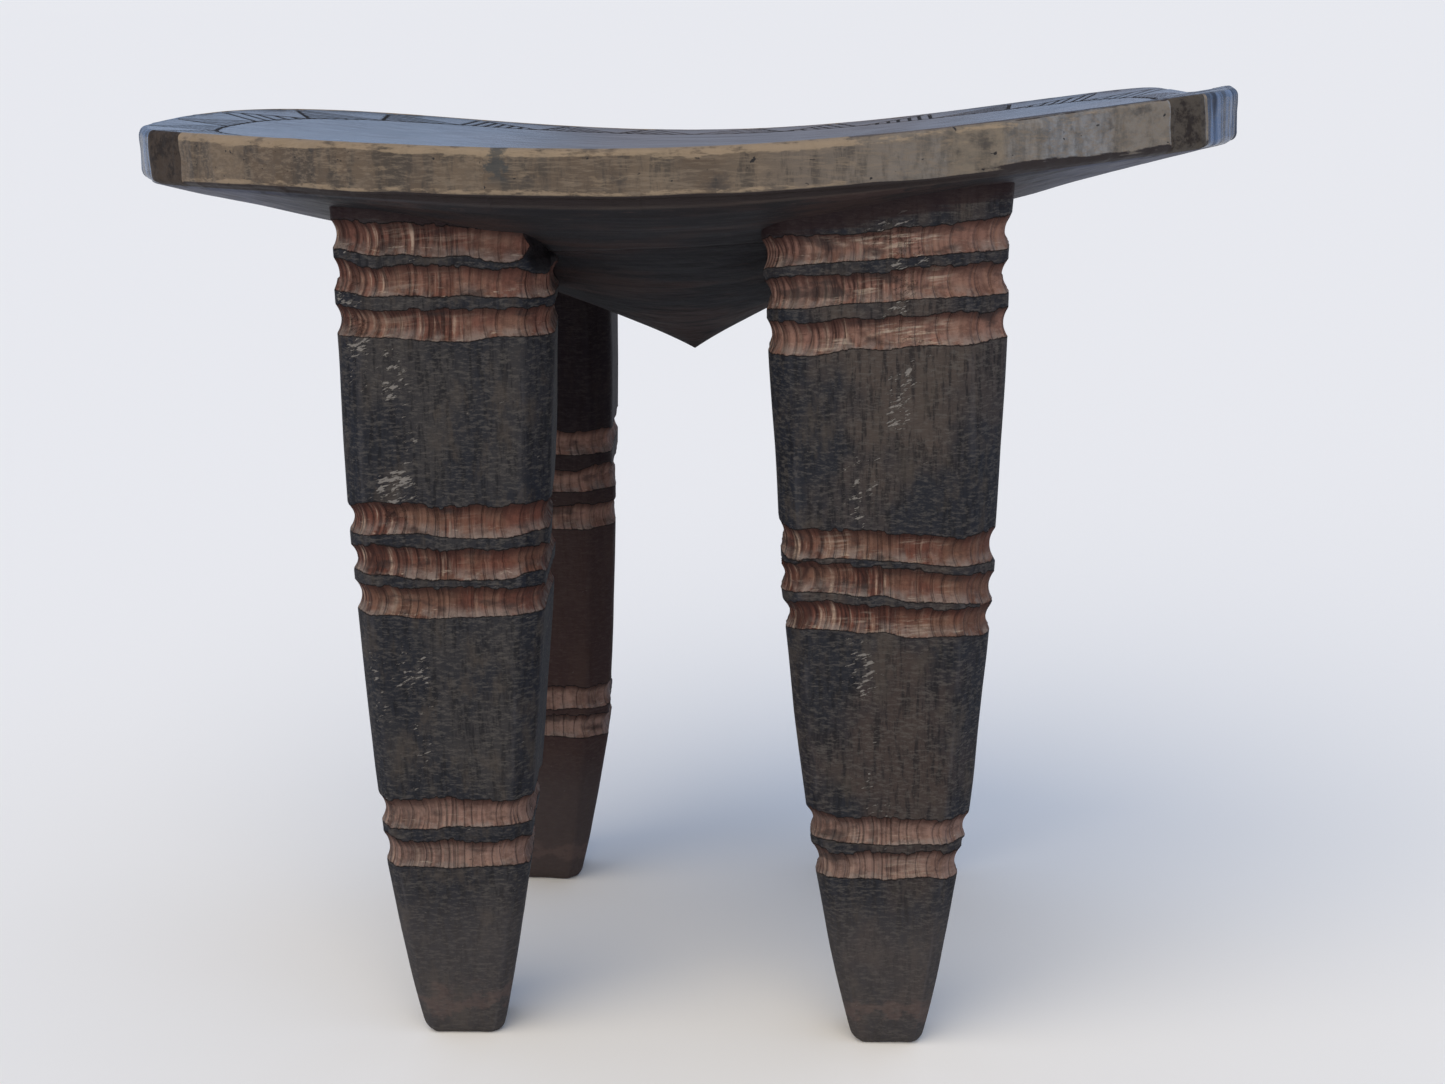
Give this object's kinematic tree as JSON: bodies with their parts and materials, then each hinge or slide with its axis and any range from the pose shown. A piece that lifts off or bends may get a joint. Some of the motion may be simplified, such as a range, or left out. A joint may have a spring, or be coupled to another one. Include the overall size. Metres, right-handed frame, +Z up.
{
  "type": "headrest",
  "caption": "Carved wooden headrest: a dished oval plate with an incised border on stout grooved legs, with a pointed boss hanging under its middle.",
  "frame": {"origin": "on the ground under the middle of the plate", "axes": "+X along the plate towards its higher end, +Y from the front legs to the back legs, +Z up"},
  "size_m": [0.1902, 0.116, 0.1611],
  "materials": {
    "plate_wood": "worn dark stain, tan where rubbed, adze cut rim and oiled top",
    "boss_wood": "dark stain, smooth",
    "leg_wood": "near-black stain with bare red-brown knife-cut grooves"
  },
  "bodies": {
    "root": {"rest_plate": "plate_wood", "centre_boss": "boss_wood", "leg_front_left": "leg_wood", "leg_front_right": "leg_wood", "leg_back_left": "leg_wood", "leg_back_right": "leg_wood"}
  },
  "joints": []
}
